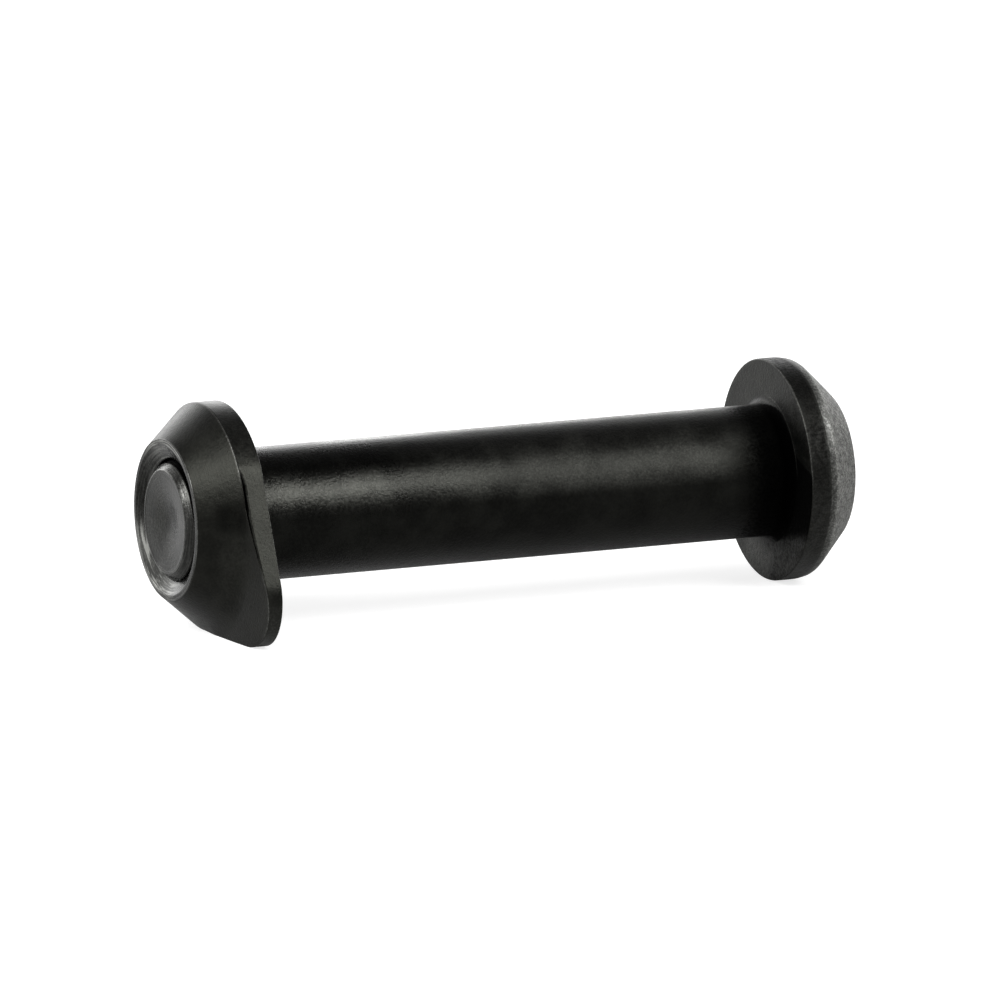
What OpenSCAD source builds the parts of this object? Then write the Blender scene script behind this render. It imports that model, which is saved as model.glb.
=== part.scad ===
// Axle bolt with a round coned head and a lobed conical nut on its threaded end.
// The shank lies along X, with the middle of the grip at the origin, the head on the +X side
// and the nut on the -X side.
// The bolt rests on the head's rim and on the nut's cone and lobe.

/* [Shank] */
// Diameter of the plain shank
shank_d = 8; // [7.4:0.1:9]
// Length of the shank between the head's seat and the nut's seat
grip_l = 35.5; // [15:0.5:80]
// Radius of the fillet between the shank and the head's seat
seat_fillet_r = 0.5; // [0.2:0.1:1]

/* [Head] */
// Diameter of the head's rim
head_d = 13.46; // [12:0.02:18]
// Thickness of the rim
head_rim_t = 1.8; // [1:0.1:2.4]
// Chamfer between the rim and the head's seat
head_chamfer = 0.1; // [0.05:0.05:0.5]
// Height of the whole head
head_h = 4.35; // [3:0.05:5]
// Angle of the head's cone from the axis
head_cone_a = 46; // [30:1:50]
// Radius of the shallow dome on the head's end
head_dome_r = 23.5; // [20:0.5:100]

/* [Threaded end] */
// Mean diameter of the thread
thread_d = 7.2; // [6.4:0.1:7.3]
// Height of the chamfer at the tip
tip_chamfer = 0.5; // [0.2:0.1:0.8]
// How far the tip stands out of the nut
tip_proud = 0.05; // [0:0.05:0.5]
// Width of the flat edge around the dished tip
tip_lip_w = 0.1; // [0.05:0.05:0.5]
// Depth of the dish in the tip
tip_dish_h = 0.4; // [0.1:0.05:0.8]

/* [Nut] */
// Height of the nut along the axis
nut_h = 3.85; // [3:0.05:5]
// Diameter of the flat ring at the top of the cone
nut_ring_d = 9.65; // [9.4:0.05:11]
// How far the cone's foot stands over the round part of the rim
cone_over = 0.1; // [0.05:0.05:0.4]
// Thickness of the rim at the foot of the cone
nut_rim_t = 1.5; // [0.8:0.1:1.8]
// Radius of the fillet between the cone and the lobe's face
nut_fillet_r = 2; // [0.5:0.1:3]
// How far the lobe's tip stands out past the cone's foot
lobe_past = 3.1; // [2:0.05:5]
// Radius of the lobe's round end
lobe_r = 3.05; // [1.5:0.05:4]
// Thickness of the rim at the lobe's tip
lobe_t = 0.85; // [0.5:0.05:1.2]
// Radial play between the nut's thread and the bolt's thread
thread_play = 0.2; // [0.15:0.05:0.3]
// How far the nut sits above the bolt's axis, on the play in its thread
nut_lift = 0.12; // [0:0.02:0.14]
// Radial play between the nut's seat and the shank
seat_play = 0.3; // [0.2:0.05:0.4]
// Width of the narrow flat around the countersink in the ring
ring_lip_w = 0.28; // [0.1:0.02:0.4]
// Angle of the ring's countersink from the axis
ring_sink_a = 60; // [40:1:65]

/* [Hidden] */
$fn = 96;
// Overlap of cutting shapes past the surface that they cut
cut_past = 1;
// Steps along each fillet's quarter or part circle
fillet_steps = 8;
shank_r = shank_d / 2;
// The shank's section ends inside the head
shank_root = head_rim_t / 2;
head_r = head_d / 2;
head_end_r = head_r - (head_h - head_rim_t) * tan(head_cone_a);
thread_r = thread_d / 2;
bore_r = thread_r + thread_play;
tip_z = -(grip_l + nut_h + tip_proud);
tip_r = thread_r - tip_chamfer;
dish_r = tip_r - tip_lip_w;
dish_ball_r = (dish_r * dish_r + tip_dish_h * tip_dish_h) / (2 * tip_dish_h);
// The thread runs out to the shank at 45 degrees inside the nut's seat
runout_z = -(grip_l + shank_r - thread_r);
seat_mouth_r = shank_r + seat_play;
// The cone's foot lies on the same surface as the head's rim
nut_cone_r = head_r + nut_lift;
nut_ring_r = nut_ring_d / 2;
nut_rim_r = nut_cone_r - cone_over;
lobe_reach = nut_cone_r + lobe_past;
lobe_offset = lobe_reach - lobe_r;
ring_sink_r = nut_ring_r - ring_lip_w;
ring_sink_h = (ring_sink_r - bore_r) / tan(ring_sink_a);
// The lobe hangs down until it touches the surface under the cone's foot
lobe_drop = asin((nut_cone_r - lobe_r) / lobe_offset);
// Slopes of the nut's cone and of the lobe's face, as angles from the seat's plane
cone_slope = atan2(nut_h - nut_rim_t, nut_cone_r - nut_ring_r);
lobe_slope = atan2(nut_rim_t - lobe_t, lobe_reach - nut_cone_r);
// The fillet touches both slopes at this distance from the corner between them
fillet_turn = cone_slope - lobe_slope;
fillet_run = nut_fillet_r * tan(fillet_turn / 2);
fillet_centre = [
    nut_cone_r + fillet_run * cos(lobe_slope) + nut_fillet_r * sin(lobe_slope),
    nut_rim_t - fillet_run * sin(lobe_slope) + nut_fillet_r * cos(lobe_slope)
];

// A point at an angle on a circle
function on_circle(centre, r, a) = centre + r * [cos(a), sin(a)];

// Points along part of a circle, from one angle to another
function arc(centre, r, from, to) =
    [for (i = [0:fillet_steps]) on_circle(centre, r, from + (to - from) * i / fillet_steps)];

// Half section of the shank and thread, as distance from the axis and place along it from the head's seat
shank_section = concat(
    [
        [0, tip_z],
        [tip_r, tip_z],
        [thread_r, tip_z + tip_chamfer],
        [thread_r, runout_z],
        [shank_r, -grip_l]
    ],
    arc([shank_r + seat_fillet_r, -seat_fillet_r], seat_fillet_r, 180, 90),
    [
        [shank_r + seat_fillet_r, shank_root],
        [0, shank_root]
    ]
);

// Half section of the head before its end is domed
head_section = [
    [0, 0],
    [head_r - head_chamfer, 0],
    [head_r, head_chamfer],
    [head_r, head_rim_t],
    [head_end_r, head_h],
    [0, head_h]
];

// Half section of the nut's turned face, past the outline that trims it
nut_section = concat(
    [
        [0, -cut_past],
        [lobe_reach + cut_past, -cut_past],
        [lobe_reach + cut_past, lobe_t - cut_past * tan(lobe_slope)]
    ],
    arc(fillet_centre, nut_fillet_r, 270 - lobe_slope, 270 - cone_slope),
    [
        [nut_ring_r, nut_h],
        [0, nut_h]
    ]
);

// Round plate with one lobe, joined by straight flanks that touch both circles
module lobe_outline() {
    flank_a = acos((nut_rim_r - lobe_r) / lobe_offset);
    lobe_centre = [lobe_offset, 0];
    circle(nut_rim_r);
    translate(lobe_centre)
        circle(lobe_r);
    polygon([
        on_circle([0, 0], nut_rim_r, flank_a),
        on_circle([0, 0], nut_rim_r, -flank_a),
        on_circle(lobe_centre, lobe_r, -flank_a),
        on_circle(lobe_centre, lobe_r, flank_a)
    ]);
}

// Bolt with its head, fillet, shank, thread end and dished tip, turned as one piece
module axle_bolt() {
    color([0.14, 0.14, 0.13])
        translate([grip_l / 2, 0, 0])
            rotate([0, 90, 0])
                difference() {
                    union() {
                        rotate_extrude()
                            polygon(shank_section);
                        intersection() {
                            rotate_extrude()
                                polygon(head_section);
                            translate([0, 0, head_h - head_dome_r])
                                sphere(head_dome_r);
                        }
                    }
                    translate([0, 0, tip_z + tip_dish_h - dish_ball_r])
                        sphere(dish_ball_r);
                }
}

// Nut with a turned cone that stands a little over its rim, and a lobe that stops it from turning
module lobed_nut() {
    color([0.17, 0.17, 0.16])
        translate([-grip_l / 2, 0, nut_lift])
            rotate([0, -90, 0])
                difference() {
                    intersection() {
                        rotate_extrude()
                            polygon(nut_section);
                        union() {
                            rotate([0, 0, 270 - lobe_drop])
                                linear_extrude(nut_h + cut_past)
                                    lobe_outline();
                            translate([0, 0, nut_rim_t])
                                cylinder(h = nut_h, r = nut_cone_r);
                        }
                    }
                    translate([0, 0, -cut_past])
                        cylinder(h = nut_h + 2 * cut_past, r = bore_r);
                    seat_countersink();
                    ring_countersink();
                }
}

// Countersink that clears the shank at the nut's seat
module seat_countersink() {
    translate([0, 0, -cut_past])
        cylinder(h = seat_mouth_r - bore_r + cut_past, r1 = seat_mouth_r + cut_past, r2 = bore_r);
}

// Wide countersink in the ring around the bolt's tip
module ring_countersink() {
    translate([0, 0, nut_h - ring_sink_h])
        cylinder(h = ring_sink_h + cut_past, r1 = bore_r, r2 = ring_sink_r + cut_past * tan(ring_sink_a));
}

axle_bolt();
lobed_nut();
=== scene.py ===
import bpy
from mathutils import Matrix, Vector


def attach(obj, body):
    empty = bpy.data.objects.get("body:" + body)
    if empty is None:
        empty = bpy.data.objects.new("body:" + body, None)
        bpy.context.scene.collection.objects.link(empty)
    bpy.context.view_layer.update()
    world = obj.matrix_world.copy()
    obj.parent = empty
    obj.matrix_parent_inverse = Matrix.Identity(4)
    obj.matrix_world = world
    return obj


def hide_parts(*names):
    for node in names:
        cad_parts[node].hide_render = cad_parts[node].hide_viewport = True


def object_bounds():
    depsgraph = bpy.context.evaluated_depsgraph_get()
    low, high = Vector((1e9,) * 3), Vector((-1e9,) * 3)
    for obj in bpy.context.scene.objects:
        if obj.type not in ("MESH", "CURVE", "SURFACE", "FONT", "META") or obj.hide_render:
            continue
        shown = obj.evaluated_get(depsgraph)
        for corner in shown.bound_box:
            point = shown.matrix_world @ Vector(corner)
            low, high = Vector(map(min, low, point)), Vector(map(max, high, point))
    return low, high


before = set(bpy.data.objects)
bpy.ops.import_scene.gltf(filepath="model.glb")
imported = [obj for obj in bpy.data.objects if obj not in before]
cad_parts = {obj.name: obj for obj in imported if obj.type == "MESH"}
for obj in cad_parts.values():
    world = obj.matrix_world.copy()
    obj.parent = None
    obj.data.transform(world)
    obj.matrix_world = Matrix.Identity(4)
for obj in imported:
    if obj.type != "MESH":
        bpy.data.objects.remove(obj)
cadBox = [list(corner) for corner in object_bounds()]

import math

import bmesh
import bpy
import numpy as np
from mathutils import Vector

mm = 0.001


# shader graph

class Wire:  # one socket, with maths on it
    def __init__(self, graph, socket):
        self.graph = graph
        self.socket = socket

    def __add__(self, other):
        return self.graph.maths("ADD", self, other)

    def __radd__(self, other):
        return self.graph.maths("ADD", other, self)

    def __sub__(self, other):
        return self.graph.maths("SUBTRACT", self, other)

    def __rsub__(self, other):
        return self.graph.maths("SUBTRACT", other, self)

    def __mul__(self, other):
        return self.graph.maths("MULTIPLY", self, other)

    def __rmul__(self, other):
        return self.graph.maths("MULTIPLY", other, self)

    def __truediv__(self, other):
        return self.graph.maths("DIVIDE", self, other)

    def __rtruediv__(self, other):
        return self.graph.maths("DIVIDE", other, self)

    def __pow__(self, other):
        return self.graph.maths("POWER", self, other)


class Graph:
    def __init__(self, owner):
        owner.use_nodes = True
        self.tree = owner.node_tree
        self.tree.nodes.clear()

    def node(self, kind, settings=None, inputs=None, out=0):
        made = self.tree.nodes.new(kind)
        for name, value in (settings or {}).items():
            setattr(made, name, value)
        for name, value in (inputs or {}).items():
            if isinstance(value, Wire):
                self.tree.links.new(value.socket, made.inputs[name])
            else:
                made.inputs[name].default_value = value
        return Wire(self, made.outputs[out]) if len(made.outputs) else made

    def maths(self, operation, a, b, clamp=False):
        return self.node("ShaderNodeMath", {"operation": operation, "use_clamp": clamp}, {0: a, 1: b})

    def clamp(self, value):
        return self.maths("ADD", value, 0.0, True)

    def step(self, value, low, high):  # 0 below low, 1 above high, smooth between
        return self.node("ShaderNodeMapRange", {"interpolation_type": "SMOOTHSTEP"},
                         {"Value": value, "From Min": low, "From Max": high})

    def blend(self, factor, a, b):
        return self.node("ShaderNodeMix", {"data_type": "RGBA"}, {0: factor, 6: a, 7: b}, 2)

    def noise(self, vector, scale, detail, rough):
        return self.node("ShaderNodeTexNoise", None,
                         {"Vector": vector, "Scale": scale, "Detail": detail, "Roughness": rough})

    def parts(self, vector):  # its x, y and z
        made = self.node("ShaderNodeSeparateXYZ", None, {0: vector}).socket.node
        return [Wire(self, made.outputs[k]) for k in range(3)]

    def mark(self, name):  # a value painted on the mesh
        return self.node("ShaderNodeAttribute", {"attribute_name": name}, None, 2)


def grey(value, warm=0.0):  # warm leans it towards olive
    green = 0.15 * warm
    return (value, value * (1 + green), value * (1 - warm), 1)


# mesh helpers

def rise(value, over):  # 0 at nought, 1 from over on, straight between
    return np.clip(value / over, 0, 1)


def ease(share):  # soft start and end for a share from 0 to 1
    return share * share * (3 - 2 * share)


def bump(value, low, high, soft):  # 1 between low and high, falling to 0 over soft
    value = np.asarray(value, float)
    return ease(np.minimum(rise(value - low + soft, soft), rise(high + soft - value, soft)))


def towards(degrees, middle, wide):  # 1 at one angle, falling away on both sides of it
    return np.exp(-(((degrees - middle + 180) % 360 - 180) / wide) ** 2)


def softCorners(corners, longest):
    # rounds the corners of a half section and splits its long runs; a corner is place, radius, rounding
    mostOfRun = 0.48
    pointsEach = 6
    same = 1e-6
    points = []
    for i, (x, r, soft) in enumerate(corners):
        here = np.array([x, r])
        if soft and 0 < i < len(corners) - 1:
            before = np.array(corners[i - 1][:2]) - here
            after = np.array(corners[i + 1][:2]) - here
            cut = min(soft, mostOfRun * np.linalg.norm(before), mostOfRun * np.linalg.norm(after))
            start = here + before / np.linalg.norm(before) * cut
            end = here + after / np.linalg.norm(after) * cut
            for t in np.linspace(0, 1, pointsEach):
                points.append((1 - t) ** 2 * start + 2 * t * (1 - t) * here + t ** 2 * end)
        else:
            points.append(here)
    dense = [points[0]]
    for p in points[1:]:
        run = np.linalg.norm(p - dense[-1])
        if run < same:
            continue
        count = max(1, math.ceil(run / longest))
        dense += [dense[-1] + (p - dense[-1]) * k / count for k in range(1, count + 1)]
    return np.array(dense)


def sawThread(x, angle, pitch):  # 0 at the root of a right-hand thread, 1 at its crest
    rootShare = 0.14
    flankShare = 0.66
    turn = (x / pitch + angle / (2 * math.pi)) % 1.0
    ridge = 1 - np.abs(2 * turn - 1)
    return rise(ridge - rootShare, flankShare)


def ringMesh(name, rows, marks, firstPole=None, lastPole=None, loop=False):
    # rows: (row, place round the axis, xyz) in mm, closed round the axis; poles close the ends
    count, around = rows.shape[:2]
    verts = list(map(tuple, rows.reshape(-1, 3) * mm))
    faces = []
    for i in range(count if loop else count - 1):
        a, b = i * around, (i + 1) % count * around
        for k in range(around):
            n = (k + 1) % around
            faces.append((a + k, a + n, b + n, b + k))
    values = {key: list(value.reshape(-1)) for key, value in marks.items()}
    for pole, base in ((firstPole, 0), (lastPole, (count - 1) * around)):
        if pole is not None:
            tip = len(verts)
            verts.append(tuple(np.array(pole) * mm))
            for key in values:
                values[key].append(values[key][base])
            faces += [(base + k, base + (k + 1) % around, tip) for k in range(around)]
    mesh = bpy.data.meshes.new(name)
    mesh.from_pydata(verts, [], faces)
    made = bmesh.new()
    made.from_mesh(mesh)
    bmesh.ops.recalc_face_normals(made, faces=made.faces)
    made.to_mesh(mesh)
    made.free()
    for key, value in values.items():
        painted = mesh.attributes.new(key, "FLOAT", "POINT")
        painted.data.foreach_set("value", np.array(value, np.float32))
    mesh.polygons.foreach_set("use_smooth", [True] * len(mesh.polygons))
    obj = bpy.data.objects.new(name, mesh)
    bpy.context.scene.collection.objects.link(obj)
    return obj


def paint(patches, places, masks):
    # strongest patch at each point; a span is low, high and how far it fades past them
    layers = []
    for patch in patches:
        layer = patch["much"] * masks[patch.get("on", "all")]
        for key, span in patch.items():
            if key in places:
                layer = layer * bump(places[key], *span)
        if "grow" in patch:  # stronger by a share where another span holds
            key, share, *span = patch["grow"]
            layer = layer * (1 + share * bump(places[key], *span))
        layers.append(layer)
    return np.maximum.reduce(layers)


# black steel, one material for each piece

markNames = ("worn", "bare", "forged", "sooty", "rubbed", "matt")

steel = {
    # noise scale, detail and roughness, then where the field starts and is full
    "mottle": (5600.0, 3.0, 0.65, 0.32, 0.70),  # fine tooth of the blackening
    "pits": (3000.0, 4.0, 0.72, 0.40, 0.60),  # coarser marks where it was forged or knocked
    "speck": (8500.0, 2.0, 0.60, 0.47, 0.60),  # bright points of metal through the black
    "cloud": (420.0, 4.0, 0.62, 0.36, 0.66),  # patchy blackening
    # marks left by turning
    "turnAlong": 1.2, "turnOut": 1.5, "turnFine": 9000.0, "turnRound": 2.0, "axisGap": 1e-5,
    "grain": (1.0, 3.0, 0.60), "scratch": (0.44, 0.66),
    # how much each field counts
    "wornGlintEven": 0.25, "wornGlintSpeck": 0.8, "wornGlintMottle": 0.3, "wornGlintBare": 0.15, "wornGlintScratch": 1.2,
    "oxideCloud": 0.6, "oxideMottle": 0.3,
    "rubSheenEven": 0.30, "rubSheenMottle": 0.30, "rubSheenSpeck": 0.25, "rubSheenLeast": 0.55, "rubSheenCloud": 0.6,
    "forgedEven": 0.20, "forgedPits": 0.35, "forgedSpeck": 0.40,
    "metalScratch": 0.7, "metalMottle": 0.3,
    "shadeRagged": 1.3, "shadeMiddle": 0.45,
    "roughMatt": 0.19, "roughCloud": 0.06, "roughMottle": 0.06,
    "roughForged": 0.06, "roughShade": 0.5, "roughBare": 0.09,
    "bareSmooth": 0.85, "bumpDistance": 0.00002,
}


def blackSteel(name, look):
    s = steel
    mat = bpy.data.materials.new(name)
    g = Graph(mat)
    place = g.node("ShaderNodeTexCoord", None, None, 3)

    def field(key):
        scale, detail, rough, start, full = s[key]
        return g.step(g.noise(place, scale, detail, rough), start, full)

    x, y, z = g.parts(place)
    away = (y * y + z * z) ** 0.5 + s["axisGap"]
    along = x * s["turnAlong"] + away * s["turnOut"]  # runs along every turned surface
    lathe = g.node("ShaderNodeCombineXYZ", None, {
        0: along * s["turnFine"],
        1: y / away * s["turnRound"],
        2: z / away * s["turnRound"],
    })
    grain = g.noise(lathe, *s["grain"])
    scratch = g.step(grain, *s["scratch"])
    mottle, pits, speck, cloud = (field(key) for key in ("mottle", "pits", "speck", "cloud"))
    worn, bare, forged, sooty, rubbed, matt = (g.mark(key) for key in markNames)

    wornGlintTexture = (s["wornGlintEven"] + s["wornGlintSpeck"] * speck * pits + s["wornGlintMottle"] * mottle) * (1 - bare)
    wornGlintTexture = wornGlintTexture + bare * (s["wornGlintBare"] + s["wornGlintScratch"] * scratch)
    patchy = cloud * s["oxideCloud"] + mottle * s["oxideMottle"]
    colour = g.blend(g.clamp(patchy), look["oxide"], look["oxideRubbed"])
    # rubbed mark: lighter rubbed oxide, and on the bolt's shank and the nut's lobe a painted highlight or
    # sheen
    rubSheen = rubbed * (s["rubSheenEven"] + s["rubSheenMottle"] * mottle + s["rubSheenSpeck"] * speck)
    rubSheen = rubSheen * (s["rubSheenLeast"] + s["rubSheenCloud"] * cloud)
    colour = g.blend(g.clamp(rubSheen), colour, look["rubAndSheenColour"])
    beaten = forged * (s["forgedEven"] + s["forgedPits"] * pits + s["forgedSpeck"] * speck)
    colour = g.blend(g.clamp(beaten), colour, look["forgedColour"])
    shine = scratch * s["metalScratch"] + mottle * s["metalMottle"]
    colour = g.blend(bare, colour, g.blend(g.clamp(shine), look["bareDark"], look["bareLight"]))
    # worn edges; the same mark also carries painted highlight lines and painted reflections
    colour = g.blend(g.clamp(worn * wornGlintTexture), colour, look["wornColour"])
    # painted shade: the dark mark darkens the colour where shade falls; on the bolt's rim it is only a
    # darker band
    ragged = s["shadeRagged"] * sooty * (1 - sooty) * (mottle - s["shadeMiddle"])  # where it thins out
    soot = g.clamp(sooty + ragged)
    colour = g.blend(soot, colour, look["shadeColour"])

    rough = look["rough"] + s["roughMatt"] * matt
    rough = rough + s["roughCloud"] * (cloud - 0.5) + s["roughMottle"] * (mottle - 0.5)
    rough = rough + s["roughForged"] * forged + s["roughShade"] * soot * soot * soot - s["roughBare"] * bare
    tooth = mottle * look["toothDepth"] * (1 - s["bareSmooth"] * bare)
    height = grain * look["grainDepth"] + tooth + pits * forged * look["pitDepth"]
    lift = g.node("ShaderNodeBump", None, {
        "Strength": look["bump"],
        "Distance": s["bumpDistance"],
        "Height": height,
    })
    shader = g.node("ShaderNodeBsdfPrincipled", None, {
        "Base Color": colour,
        "Metallic": 1.0,
        "Roughness": g.clamp(rough),
        "Normal": lift,
    })
    g.node("ShaderNodeOutputMaterial", None, {"Surface": shader})
    return mat


# bolt: lengths in mm, angles in degrees round its axis with 90 on top and 180 towards the viewer

bolt = {
    "around": 256, "longest": 0.32,
    "tip": -21.65, "lipRadius": 3.12, "lipSoft": 0.06,
    "dishDeep": 0.08, "dishRadius": 3.0, "dishSoft": 0.07, "dishInner": 0.06, "dishRings": 40,
    "dimpleDeep": 0.34, "dimpleWide": 1.6, "dimplePower": 1.8,
    "entryCrest": 3.50, "entrySoft": 0.04, "entryLong": 0.3,
    "threadRoot": 3.36, "threadCrest": 3.84, "pitch": 1.25, "threadGrows": 1.2,
    "threadIn": 0.35, "threadOut": 0.8, "threadFade": 0.3,
    "threadRow": 0.06, "rowsFrom": 0.02, "rowsTo": 0.36, "rowsSlack": 0.05, "rowsLast": 0.45,
    "swell": 0.08, "swellTurn": (190, 285, 35), "swellRise": 0.08, "swellEnd": 0.8, "swellFall": 0.4,
    "runout": 3.60, "runoutLong": 0.42, "runoutSoft": 0.1, "shankSoft": 0.12,
    "grip": 17.75, "shank": 4.0, "fillet": 0.5, "filletRings": 9, "seatRings": (0.05, 0.10, 0.16, 0.24),
    "seatRadius": 6.73, "seatSoft": 0.10,
    # from the seat, radius, rounding
    "rimMiddle": (1.2, 6.73, 0.12), "rimEdge": (1.8, 6.62, 0.22), "coneFoot": (3.91, 4.54, 0.5),
    "headTall": 4.35, "dome": 23.5, "domeStart": 0.3, "domeInner": 0.1, "domeRings": 26,
    "uneven": 0.006, "unevenFrom": 0.15, "unevenInner": 0.5, "unevenWaves": ((3, 2.1), (7, -1.3)),
    # where the marks lie
    "dishReach": 0.7, "tipReach": 0.6, "slack": 0.02, "threadSlack": 0.05,
    "seatSlack": 0.03, "filletSlack": 0.05, "edgeReach": 0.1, "besideReach": 0.5,
    "shankReach": 0.1, "neckReach": 0.3, "rimInner": 6.5,
    "leftTurn": (20, 45), "leftDuller": 0.4,
    "dimpleAt": (-0.55, 0.6), "dimpleShade": 1.5, "dimpleFade": 1.2,
    "neckTurn": (94, 245, 18), "neckRadius": 0.12, "neckWider": 0.42, "neckFrom": 92, "neckOver": 28,
    "neckFade": 0.06,
    # the shank's dark image in the seat, painted as shade: height over the axis, slope across, fade
    "shadeTop": (3.45884, 0.333, 0.45), "shadeLow": (-5.412, -0.22, 1.3), "shadeSide": (0.9, 1.2),
    "glint": 0.7, "glintOut": (4.53, 4.60, 0.04), "glintTurn": (150, 160, 20),
    "footSide": (-0.2, 1.2), "footLow": (-3.0, 1.0),
    "look": {
        "oxide": grey(0.0070, 0.08), "oxideRubbed": grey(0.0150, 0.10),
        "rubAndSheenColour": grey(0.075, 0.08), "forgedColour": grey(0.30, 0.05),
        "bareDark": grey(0.030, 0.04), "bareLight": grey(0.130, 0.04),
        "wornColour": grey(0.40, 0.04), "shadeColour": grey(0.0010),
        "rough": 0.28, "grainDepth": 0.25, "toothDepth": 0.6, "pitDepth": 2.2, "bump": 0.6,
    },
    "marks": {
        "worn": (
            {"much": 0.14, "on": "seatEdge", "out": (6.67, 6.74, 0.02), "turn": (80, 172, 14)},
            # painted highlight: a light line along the fillet's outer edge
            {"much": 0.22, "on": "seat", "out": (4.53, 4.60, 0.04), "turn": (110, 156, 26)},
            {"much": 0.95, "fromSeat": (1.38, 1.90, 0.1), "turn": (136, 150, 12)},
            {"much": 0.55, "fromSeat": (1.58, 1.90, 0.1), "turn": (60, 158, 12)},
            {"much": 0.22, "fromSeat": (1.62, 1.90, 0.1), "turn": (158, 268, 12)},
            {"much": 0.45, "on": "tip", "out": (3.10, 3.50, 0.03), "turn": (35, 100, 25)},
            {"much": 0.10, "on": "tip", "out": (3.10, 3.50, 0.03), "turn": (100, 162, 10)},
            {"much": 0.35, "on": "tip", "out": (3.04, 3.14, 0.03)},
            # worn specks and a painted highlight along the shank's top edge
            {"much": 0.85, "on": "shank", "along": (-8, 12.75, 5.0), "turn": (79, 88, 10)},
        ),
        "bare": (
            {"much": 0.25, "on": "dishDull", "grow": ("out", 1.4, 2.4, 4.0, 1.2)},
            {"much": 0.45, "on": "stud", "fromTip": (0.02, 0.73, 0.1)},
        ),
        "forged": (
            {"much": 1.0, "fromSeat": (1.75, 6.0, 0.15)},
            {"much": 0.36, "fromSeat": (1.34, 6.0, 0.08)},
            {"much": 0.08, "fromSeat": (0.10, 6.0, 0.10)},
            {"much": 0.22, "on": "seat", "out": (5.2, 7.0, 0.6), "turn": (222, 290, 18)},
            {"much": 0.30, "on": "shank", "along": (-10, 14.75, 5.0), "turn": (74, 84, 12)},
        ),
        "sooty": (
            # painted shade on the thread where it goes into the nut, most on the upper side
            {"much": 1.0, "on": "thread", "fromTip": (0.98, 1.38, 0.3)},
            {"much": 1.0, "on": "thread", "fromTip": (0.44, 1.38, 0.05), "turn": (72, 158, 12)},
            # painted shade in the dish's centre
            {"much": 0.62, "on": "dimple"},
            # painted shade on the fillet and the neck beside the head
            {"much": 1.0, "on": "fillet", "fromSeat": (-0.55, -0.004, 0.6)},
            {"much": 0.90, "on": "neck", "fromSeat": (-1.6, 1.0, 2.6)},
            # painted reflection of the dark shank in the seat, as shade
            {"much": 0.97, "on": "seatShade"},
            # painted shade on the seat's lowest edge and its lower front, near the floor
            {"much": 0.70, "on": "seat", "out": (6.35, 7.0, 0.2), "turn": (247, 262, 7)},
            {"much": 0.62, "on": "seatFoot"},
            # painted shade on the top of the fillet
            {"much": 0.20, "on": "besideSeat", "out": (4.06, 4.46, 0.08), "turn": (50, 108, 12)},
            {"much": 0.50, "on": "rim", "fromSeat": (0.14, 1.1, 0.12), "turn": (85, 172, 20)},
        ),
        "rubbed": (
            # painted highlight band where the lamp's highlight falls along the shank, and a painted lighter
            # band above it
            {"much": 0.48, "along": (-16, 12.4, 2.4), "turn": (141, 164, 13),
             "grow": ("along", 1 / 6, 6, 30, 8)},
            {"much": 0.40, "along": (0, 14.75, 10), "turn": (88, 138, 12)},
            {"much": 0.8, "on": "seat"},
            {"much": 0.8, "on": "dish"},
        ),
        "matt": (
            {"much": 1.0, "along": (3, 17.25, 15)},
            {"much": 0.5, "on": "head"},
        ),
    },
}


def boltLine():  # half section from the dish's centre to the dome's, and the rows of it that are threaded
    b = bolt
    seat, tip = b["grip"], b["tip"]
    entry = tip + b["entryCrest"] - b["lipRadius"]
    ball = (b["dishRadius"] ** 2 + b["dishDeep"] ** 2) / (2 * b["dishDeep"])
    dish = []
    for r in np.linspace(b["dishInner"], b["dishRadius"], b["dishRings"])[:-1]:
        pressed = b["dimpleDeep"] * math.exp(-(r / b["dimpleWide"]) ** b["dimplePower"])
        dish.append((tip + b["dishDeep"] - ball + math.sqrt(ball ** 2 - r ** 2) + pressed, r, 0))
    turn = []
    for a in np.linspace(0, math.pi / 2, b["filletRings"]):
        radius = b["shank"] + b["fillet"] * (1 - math.cos(a))
        turn.append((seat - b["fillet"] + b["fillet"] * math.sin(a), radius, 0))
    turn += [(seat, b["shank"] + b["fillet"] + past, 0) for past in b["seatRings"]]
    head = [(seat + x, r, soft) for x, r, soft in (b["rimMiddle"], b["rimEdge"], b["coneFoot"])]
    domeAt = seat + b["headTall"] - b["dome"]
    domeRings = np.linspace(b["coneFoot"][1] - b["domeStart"], b["domeInner"], b["domeRings"])
    dome = [(domeAt + math.sqrt(b["dome"] ** 2 - r ** 2), r, 0) for r in domeRings]
    corners = dish + [
        (tip, b["dishRadius"], b["dishSoft"]),
        (tip, b["lipRadius"], b["lipSoft"]),
        (entry, b["entryCrest"], b["entrySoft"]),
        (entry + b["entryLong"], b["entryCrest"], 0),
        (-seat - b["runoutLong"], b["runout"], b["runoutSoft"]),
        (-seat, b["shank"], b["shankSoft"]),
    ] + turn + [(seat, b["seatRadius"], b["seatSoft"])] + head + dome
    line = softCorners(corners, b["longest"])

    # close rows where the thread runs
    inThread = (line[:, 0] > entry + b["rowsFrom"]) & (line[:, 0] < -seat - b["rowsTo"])
    inThread = inThread & (line[:, 1] > b["entryCrest"] - b["rowsSlack"])
    extra = np.arange(entry + b["threadRow"], -seat - b["rowsLast"], b["threadRow"])
    core = b["entryCrest"] + (b["runout"] - b["entryCrest"]) * rise(extra - entry, b["threadGrows"])
    before = line[:np.argmax(inThread)]
    after = line[len(line) - np.argmax(inThread[::-1]):]
    line = np.vstack([before, np.stack([extra, core], 1), after])
    threaded = np.zeros((len(line), 1), bool)
    threaded[len(before):len(before) + len(extra)] = True
    return line, threaded, entry


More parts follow.
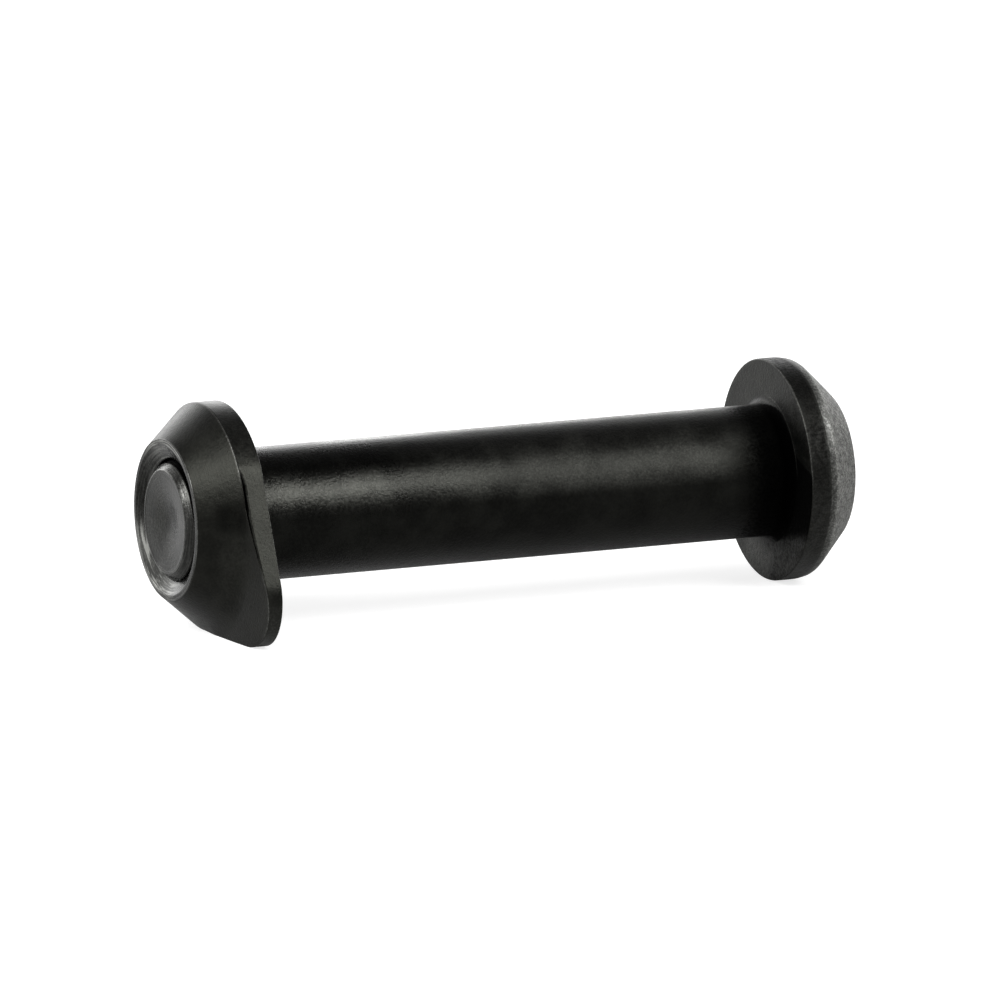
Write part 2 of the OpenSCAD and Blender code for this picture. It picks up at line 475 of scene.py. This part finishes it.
def boltMasks(x, r, y, z, degrees):  # the parts of the bolt that the marks are named on
    b = bolt
    seat, tip = b["grip"], b["tip"]
    dish = (x < tip + b["dishReach"]) & (r < b["lipRadius"] + b["slack"])
    seatFace = (np.abs(x - seat) < b["seatSlack"]) & (r > b["shank"] + b["fillet"] - b["filletSlack"])
    fromDimple = np.hypot(y - b["dimpleAt"][0], z - b["dimpleAt"][1])

    # the side of the neck that the light leaves dark, painted as shade
    reach = b["shank"] + b["neckRadius"] + b["neckWider"] * rise(degrees - b["neckFrom"], b["neckOver"])
    neckShade = bump(degrees, *b["neckTurn"]) * rise(reach - r, b["neckFade"])

    topAt, topSlope, topFade = b["shadeTop"]
    lowAt, lowSlope, lowFade = b["shadeLow"]
    sideAt, sideFade = b["shadeSide"]
    seatShade = rise(topAt + topSlope * y - z, topFade) * rise(z - lowAt - lowSlope * y, lowFade)
    seatShade = seatShade * seatFace * rise(sideAt - y, sideFade)
    # painted highlight line along the fillet's foot, kept clear of the painted shade
    glint = b["glint"] * seatFace * bump(r, *b["glintOut"]) * bump(degrees, *b["glintTurn"])
    footAt, footFade = b["footSide"]
    footHigh, footRise = b["footLow"]
    return {
        "all": np.ones_like(x),
        "dish": dish,
        "dishDull": dish * (1 - b["leftDuller"] * towards(degrees, *b["leftTurn"])),
        "dimple": dish * rise(b["dimpleShade"] - fromDimple, b["dimpleFade"]),
        "tip": x < tip + b["tipReach"],
        "stud": r > b["lipRadius"],
        "thread": (r > b["lipRadius"]) & (r < b["shank"] - b["threadSlack"]),
        "shank": r < b["shank"] + b["shankReach"],
        "fillet": neckShade * (r < b["shank"] + b["fillet"] + b["slack"]),
        "neck": neckShade * (r < b["shank"] + b["neckReach"]),
        "seat": seatFace,
        "seatEdge": np.abs(x - seat) < b["edgeReach"],
        "besideSeat": np.abs(x - seat) < b["besideReach"],
        "seatShade": seatShade * (1 - glint),
        "seatFoot": seatFace * rise(footAt - y, footFade) * rise(footHigh - z, footRise),
        "rim": r > b["rimInner"],
        "head": x > seat,
    }


def makeBolt():
    b = bolt
    seat, tip = b["grip"], b["tip"]
    line, threaded, entry = boltLine()
    angle = np.linspace(0, 2 * math.pi, b["around"], endpoint=False)
    x = np.repeat(line[:, :1], b["around"], 1)
    r = np.repeat(line[:, 1:], b["around"], 1)
    t = np.repeat(angle[None], len(line), 0)
    degrees = np.degrees(t)

    crest = b["entryCrest"] + (b["threadCrest"] - b["entryCrest"]) * rise(x - entry, b["threadGrows"])
    ridge = b["threadRoot"] + (crest - b["threadRoot"]) * sawThread(x, t, b["pitch"])
    ends = bump(x, entry + b["threadIn"], -seat - b["threadOut"], b["threadFade"])  # runs out at both ends
    r = np.where(threaded, r + (ridge - r) * ends, r)
    started = rise(x - entry, b["swellRise"]) * rise(entry + b["swellEnd"] - x, b["swellFall"])
    r = r + b["swell"] * bump(degrees, *b["swellTurn"]) * started  # thread begins on the lower right
    onHead = (x > seat + b["unevenFrom"]) & (r > b["unevenInner"])
    first, second = (np.sin(turns * t + drift * x) for turns, drift in b["unevenWaves"])
    r = r + onHead * b["uneven"] * first * second  # forging leaves it a little uneven

    y, z = r * np.cos(t), r * np.sin(t)
    places = {"along": x, "fromSeat": x - seat, "fromTip": x - tip, "out": r, "turn": degrees}
    masks = boltMasks(x, r, y, z, degrees)
    marks = {key: paint(b["marks"][key], places, masks) for key in markNames}
    firstPole = (tip + b["dishDeep"] + b["dimpleDeep"], 0, 0)
    obj = ringMesh("boltBody", np.stack([x, y, z], 2), marks, firstPole, (seat + b["headTall"], 0, 0))
    obj.data.materials.append(blackSteel("boltBlackSteel", b["look"]))
    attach(obj, "bolt")
    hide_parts("axle_bolt")
    print("bolt:", len(obj.data.polygons), "faces")


# nut: heights are over its seat

nut = {
    "around": 400, "seat": -17.75, "raise": 0.12, "tall": 3.85,
    "rim": 6.85, "rimInset": 0.01, "flank": 6.75, "flankEase": 0.03, "flankSpread": 1.2,
    "lobeAway": 6.9, "lobeRound": 3.05, "lobeTurn": 213.4,
    "coneFoot": 6.85, "ring": 4.825, "rimThick": 1.5, "lobeThick": 0.85,
    "fillet": 2.0, "filletPast": 0.35, "filletBefore": 0.9,
    "mouth": 4.30, "bore": 3.64, "boreInset": 0.06, "sink": 60.0,
    "ringLip": 0.28, "ringOut": 0.04, "ringDrop": 0.07, "ringIn": 0.06, "ringInset": 0.03, "faceStop": 0.05,
    "threadCrest": 3.56, "threadRoot": 4.04, "pitch": 1.25, "threadRow": 0.06,
    "threadLow": 0.3, "threadHigh": 0.35, "threadFade": 0.3,
    "seatShort": 0.08, "seatEdge": 0.06,
    # the crease's dark share is painted shade
    "creaseDeep": 0.27, "creaseAt": 158.0, "creaseTo": 197.0, "creaseRise": 14.0,
    "creaseShare": 0.12, "creaseSoft": 0.04, "creaseSofter": 0.01, "creaseDark": 0.08,
    "edgeThick": 0.06, "underRise": 0.015, "underShort": 0.012, "underDark": 1.4,
    "underRows": (0.35, 0.7, 1.0), "coneEdgeRows": (0.4, 0.8),
    # first, last and number of the rows along each stretch
    "seatRows": (0, 1, 10), "seatEdgeRows": (0.15, 1, 6), "wallRows": (0.06, 1, 24),
    "faceRows": (0.006, 1, 80), "faceCrowd": 1.2,
    "ringRows": (0.1, 1, 6), "sinkRows": (0.03, 1, 16), "mouthRows": (0.1, 0.9, 5),
    # arcs that the marks are named on
    "arcs": {
        "low": (280, 325, 40), "lowLeft": (292, 332, 20), "top": (68, 112, 24), "lobe": (192, 232, 30),
        "wallTop": (92, 128, 16), "wallLobe": (212, 236, 12), "wallRub": (70, 140, 20),
        "edgeTop": (84, 146, 8), "edgeLobe": (196, 214, 6), "blotch": (166, 173, 9),
    },
    "leftTurn": (20, 42), "leftDuller": 0.5,
    # the arcs on the ring and the sink are partly wear and partly painted reflection
    "wearAndGlint": {
        "wall": {"wallTop": 0.05, "wallLobe": 0.05},
        "coneEdge": {"edgeTop": 0.20, "edgeLobe": 0.20},
        "coneFoot": {"edgeTop": 0.28, "edgeLobe": 0.28},
        "ringEdge": {"all": 0.26, "left": -0.156, "lowLeft": 0.45},
        "ringFlat": {"all": 0.05, "low": 0.60, "top": 0.75, "lowLeft": 0.35},
        "sink": {"low": 0.34, "lowLeft": 0.65, "top": 0.25},
    },
    "seatWear": 0.35, "seatWearAt": (0.3, 0.8, 0.2), "sinkWear": 0.12, "sinkWearAt": (0.9, 1.0, 0.1),
    # the lobe's share of the face's rub is a painted sheen; the blotch below is a painted dark reflection
    # and the bore's dark band painted shade
    "footWearTo": 0.03, "wallRubs": (0.6, 0.4), "faceRubsAndSheen": (0.2, 0.8), "faceSheenOut": (6.2, 11, 0.8),
    "blotchShade": 0.6, "blotchOut": (6.0, 6.6, 0.5), "boreBare": 0.4, "boreShade": (0.9, 0.08, 0.08),
    "look": {
        "oxide": grey(0.0105, 0.10), "oxideRubbed": grey(0.0200, 0.12),
        "rubAndSheenColour": grey(0.030, 0.10), "forgedColour": grey(0.05, 0.05),
        "bareDark": grey(0.014, 0.04), "bareLight": grey(0.10, 0.04),
        "wornColour": grey(0.38, 0.05), "shadeColour": grey(0.0015),
        "rough": 0.35, "grainDepth": 0.8, "toothDepth": 0.4, "pitDepth": 0.0, "bump": 0.6,
    },
}


def nutOutline(turn):  # how far the rim reaches, by the angle from the lobe in radians
    n = nut
    turn = (turn + math.pi) % (2 * math.pi) - math.pi
    away = np.abs(turn)
    across = np.clip(n["lobeRound"] ** 2 - (n["lobeAway"] * np.sin(turn)) ** 2, 0, None)
    end = n["lobeAway"] * np.cos(turn) + np.sqrt(across)

    def side(touch):  # a flank that touches the lobe's end and a circle of this radius
        flank = math.acos((touch - n["lobeRound"]) / n["lobeAway"])
        meetOut = n["lobeAway"] + n["lobeRound"] * math.cos(flank)
        meet = math.atan2(n["lobeRound"] * math.sin(flank), meetOut)
        straight = touch / np.cos(np.clip(flank - away, -n["flankSpread"], n["flankSpread"]))
        inner = np.where(away >= meet, straight, end)
        soft = n["flankEase"]  # runs it softly into the round rim
        blunt = -soft * np.log(np.exp(-straight / soft) + np.exp(-n["rim"] / soft))
        return np.where(away >= flank, blunt, inner)

    return np.where(turn > 0, side(n["rim"] - n["rimInset"]), side(n["flank"]))


def nutFace(r, share):  # height of the turned face; share is how far the lobe's fillet counts
    n = nut
    steep = math.atan2(n["tall"] - n["rimThick"], n["coneFoot"] - n["ring"])
    flat = math.atan2(n["rimThick"] - n["lobeThick"], n["lobeAway"] + n["lobeRound"] - n["coneFoot"])
    run = n["fillet"] * math.tan((steep - flat) / 2)
    centreR = n["coneFoot"] + run * math.cos(flat) + n["fillet"] * math.sin(flat)
    centreZ = n["rimThick"] - run * math.sin(flat) + n["fillet"] * math.cos(flat)
    inner = n["coneFoot"] - run * math.cos(steep)
    outer = n["coneFoot"] + run * math.cos(flat)
    cone = n["rimThick"] + (n["coneFoot"] - r) * math.tan(steep)
    lobe = n["rimThick"] - (r - n["coneFoot"]) * math.tan(flat)
    hollow = centreZ - np.sqrt(np.clip(n["fillet"] ** 2 - (r - centreR) ** 2, 0, None))
    sharp = np.maximum(cone, lobe)
    filled = np.where(r < inner, cone, np.where(r > outer, lobe, hollow))
    return sharp + (filled - sharp) * share


def makeNut():
    n = nut
    angle = np.linspace(0, 2 * math.pi, n["around"], endpoint=False)
    degrees = np.degrees(angle)
    rim = nutOutline(angle - math.radians(n["lobeTurn"]))
    foot = np.maximum(rim, n["coneFoot"])
    grows = np.where(degrees > n["lobeTurn"], n["filletPast"], n["filletBefore"])
    share = ease(rise(foot - n["coneFoot"], grows))
    top = nutFace(foot, share)
    under = top - n["edgeThick"]
    crease = bump(degrees, n["creaseAt"], n["creaseAt"], n["creaseRise"])
    tail = rise(n["creaseTo"] - degrees, n["creaseTo"] - n["creaseAt"])
    narrow = np.where(degrees > n["creaseAt"], tail, crease)
    crease = n["creaseDeep"] * narrow
    dark = rise(crease, n["creaseDark"])
    lip = n["ring"] - n["ringLip"]
    sinkDeep = (lip - n["bore"]) / math.tan(math.radians(n["sink"]))

    arc = {name: bump(degrees, *span) for name, span in n["arcs"].items()}
    arc["all"] = np.ones_like(degrees)
    arc["left"] = towards(degrees, *n["leftTurn"])  # the bare mark is weaker on this side, so it renders darker
    wearAndGlint = {part: sum(much * arc[name] for name, much in mix.items()) for part, mix in n["wearAndGlint"].items()}
    shine = 1 - n["leftDuller"] * arc["left"]
    heights = []
    radii = []
    marks = {key: [] for key in markNames}

    def row(height, radius, **painted):
        heights.append(np.broadcast_to(height, angle.shape))
        radii.append(np.broadcast_to(radius, angle.shape))
        for key in markNames:
            marks[key].append(np.broadcast_to(painted.get(key, 0.0), angle.shape))

    edge = n["seatEdge"]
    for t in np.linspace(*n["seatRows"]):
        row(0.0, n["mouth"] + (rim - n["seatShort"] - n["mouth"]) * t)
    for t in np.linspace(*n["seatEdgeRows"]):
        a = t * math.pi / 2
        row(edge * (1 - math.cos(a)), rim - edge + edge * math.sin(a),
            worn=n["seatWear"] * bump(t, *n["seatWearAt"]))
    leastRubSheen, moreRubSheen = n["wallRubs"]
    soft = n["creaseSoft"] + n["creaseSofter"] * narrow
    for t in np.linspace(*n["wallRows"]):  # wall of the rim, with the crease under the cone and painted shade in the crease
        deep = ease(rise(t - 1 + n["creaseShare"] * narrow + soft, soft))
        row(edge + (under - edge) * t, rim - crease * deep, sooty=deep * dark,
            rubbed=leastRubSheen + moreRubSheen * arc["wallRub"], worn=wearAndGlint["wall"])
    for t in n["underRows"]:  # underside of the cone where it stands over the crease, with painted shade
        row(under + n["underRise"] * t, rim - crease + (foot - n["underShort"] - rim + crease) * t,
            sooty=dark * (n["underDark"] - t) / n["underDark"])
    for t in n["coneEdgeRows"]:
        row(under + n["underRise"] + (top - under - 2 * n["underRise"]) * t, foot,
            worn=wearAndGlint["coneEdge"] * t)
    leastRubSheen, moreRubSheen = n["faceRubsAndSheen"]
    for t in np.linspace(*n["faceRows"]) ** n["faceCrowd"]:  # turned face from the rim up to the ring, with a painted dark reflection (the blotch) and a painted sheen on the lobe's side
        r = foot + (n["ring"] + n["faceStop"] - foot) * t
        row(nutFace(r, share), r, worn=wearAndGlint["coneFoot"] * rise(n["footWearTo"] - t, n["footWearTo"]),
            sooty=n["blotchShade"] * arc["blotch"] * bump(r, *n["blotchOut"]),
            rubbed=leastRubSheen + moreRubSheen * arc["lobe"] * bump(r, *n["faceSheenOut"]))
    for t in np.linspace(*n["ringRows"]):  # soft edge of the ring
        a = t * math.pi / 2
        row(n["tall"] - n["ringDrop"] * (1 - math.sin(a)),
            n["ring"] + n["ringOut"] - n["ringIn"] * (1 - math.cos(a)), worn=wearAndGlint["ringEdge"], bare=t)
    flatFrom, flatTo = n["ring"] - n["ringInset"], lip + n["ringInset"]
    for t in np.linspace(*n["ringRows"]):
        row(n["tall"], flatFrom + (flatTo - flatFrom) * t, worn=wearAndGlint["ringFlat"], bare=shine)
    for t in np.linspace(*n["sinkRows"]):
        row(n["tall"] - sinkDeep * t, lip + (n["bore"] + n["boreInset"] - lip) * t,
            worn=n["sinkWear"] * bump(t, *n["sinkWearAt"]) + wearAndGlint["sink"], bare=shine)
    low, high = n["mouth"] - n["bore"], n["tall"] - sinkDeep - n["boreInset"]
    shadeFrom, shadeTo, shadeFade = n["boreShade"]
    for h in np.arange(high, low, -n["threadRow"]):  # threaded bore, with painted shade near the ring end, in the gap round the stud
        saw = sawThread(n["seat"] - h, angle, n["pitch"])
        ridge = n["threadCrest"] + (n["threadRoot"] - n["threadCrest"]) * saw
        ends = bump(h, low + n["threadLow"], high - n["threadHigh"], n["threadFade"])
        row(h, n["bore"] + (ridge - n["bore"]) * ends, bare=n["boreBare"],
            sooty=bump(h, high - shadeFrom, high - shadeTo, shadeFade))
    for t in np.linspace(*n["mouthRows"]):
        row(low * (1 - t), n["bore"] + (n["mouth"] - n["bore"]) * t)

    height, radius = np.array(heights), np.array(radii)
    y, z = radius * np.cos(angle), radius * np.sin(angle) + n["raise"]
    grid = np.stack([n["seat"] - height, y, z], 2)
    marks = {key: np.array(value, float) for key, value in marks.items()}
    obj = ringMesh("lobedNut", grid, marks, loop=True)
    obj.data.materials.append(blackSteel("nutBlackSteel", n["look"]))
    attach(obj, "nut")
    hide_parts("lobed_nut")
    print("nut:", len(obj.data.polygons), "faces")


# floor, light and camera

stage = {
    "floorWide": 3.0, "floorColour": grey(0.50), "cameraGlow": 0.75, "mirrorGlow": 0.10,
    "skyBack": grey(1.0), "skyFront": grey(0.38), "skyFrontLeft": grey(0.60),
    "skyHigh": grey(0.22), "skyHighLeft": grey(0.50),
    "turnsRight": (-0.45, 0.25), "turnsBack": (-0.7, 0.5), "turnsHigh": (0.05, 0.75),
    "lamps": {  # degrees to the right of the front and up, distance, width and height in metres, power
        "rightBox": (33, 39, 1.5, 0.70, 0.62, 12.5),
        "leftBox": (-74, 43, 1.5, 0.90, 0.72, 17.3),
        "backWall": (172, 14, 1.6, 3.2, 0.7, 13.1),
    },
}


def makeFloor():
    ground = cadBox[0][2]
    w = stage["floorWide"]
    corners = [(-w, -w, ground), (w, -w, ground), (w, w, ground), (-w, w, ground)]
    mesh = bpy.data.meshes.new("floor")
    mesh.from_pydata(corners, [], [(0, 1, 2, 3)])
    floor = bpy.data.objects.new("floor", mesh)
    bpy.context.scene.collection.objects.link(floor)
    mat = bpy.data.materials.new("paleFloor")
    g = Graph(mat)
    path = g.node("ShaderNodeLightPath").socket.node
    rays = ("Is Camera Ray", "Is Glossy Ray", "Is Transmission Ray")
    camera, glossy, through = (Wire(g, path.outputs[name]) for name in rays)
    shown = camera * stage["cameraGlow"] + g.clamp(glossy + through) * stage["mirrorGlow"]
    matt = g.node("ShaderNodeBsdfDiffuse", None, {"Color": stage["floorColour"]})
    glow = g.node("ShaderNodeEmission", None, {"Color": grey(1.0), "Strength": shown})
    both = g.node("ShaderNodeAddShader", None, {0: matt, 1: glow})
    g.node("ShaderNodeOutputMaterial", None, {"Surface": both})
    mesh.materials.append(mat)
    print("floor:", round(ground / mm, 2), "mm")


def makeLight():
    world = bpy.data.worlds.new("studio")
    bpy.context.scene.world = world
    g = Graph(world)
    side, behind, up = g.parts(g.node("ShaderNodeTexCoord"))
    toRight = g.step(side, *stage["turnsRight"])
    front = g.blend(toRight, stage["skyFrontLeft"], stage["skyFront"])
    low = g.blend(g.step(behind, *stage["turnsBack"]), front, stage["skyBack"])
    high = g.blend(toRight, stage["skyHighLeft"], stage["skyHigh"])
    sky = g.blend(g.step(up, *stage["turnsHigh"]), low, high)
    back = g.node("ShaderNodeBackground", None, {"Color": sky, "Strength": 1.0})
    g.node("ShaderNodeOutputWorld", None, {"Surface": back})

    for name, (right, upward, away, wide, tall, power) in stage["lamps"].items():
        a, e = math.radians(right), math.radians(upward)
        lamp = bpy.data.lights.new(name, "AREA")
        lamp.shape = "RECTANGLE"
        lamp.size = wide
        lamp.size_y = tall
        lamp.energy = power
        obj = bpy.data.objects.new(name, lamp)
        way = Vector((math.sin(a) * math.cos(e), -math.cos(a) * math.cos(e), math.sin(e)))
        obj.location = way * away
        obj.rotation_euler = (-obj.location).to_track_quat("-Z", "Y").to_euler()
        bpy.context.scene.collection.objects.link(obj)
    print("light:", len(stage["lamps"]), "lamps")


view = {
    "eye": (-452.93, -1025.39, 225.03), "aim": (2.927, 6.155, -1.798),
    "lens": 685.7, "sensor": 36.0, "nearest": 0.01, "farthest": 20.0,
}


def makeCamera():
    cam = bpy.data.cameras.new("photoView")
    cam.sensor_width = view["sensor"]
    cam.lens = view["lens"]
    cam.clip_start = view["nearest"]
    cam.clip_end = view["farthest"]
    obj = bpy.data.objects.new("photoView", cam)
    eye, aim = Vector(view["eye"]) * mm, Vector(view["aim"]) * mm
    obj.location = eye
    obj.rotation_euler = (aim - eye).to_track_quat("-Z", "Y").to_euler()
    bpy.context.scene.collection.objects.link(obj)
    bpy.context.scene.camera = obj
    print("camera:", [round(c, 3) for c in eye])


bpy.context.scene.view_settings.view_transform = "Standard"
makeBolt()
makeNut()
makeFloor()
makeLight()
makeCamera()
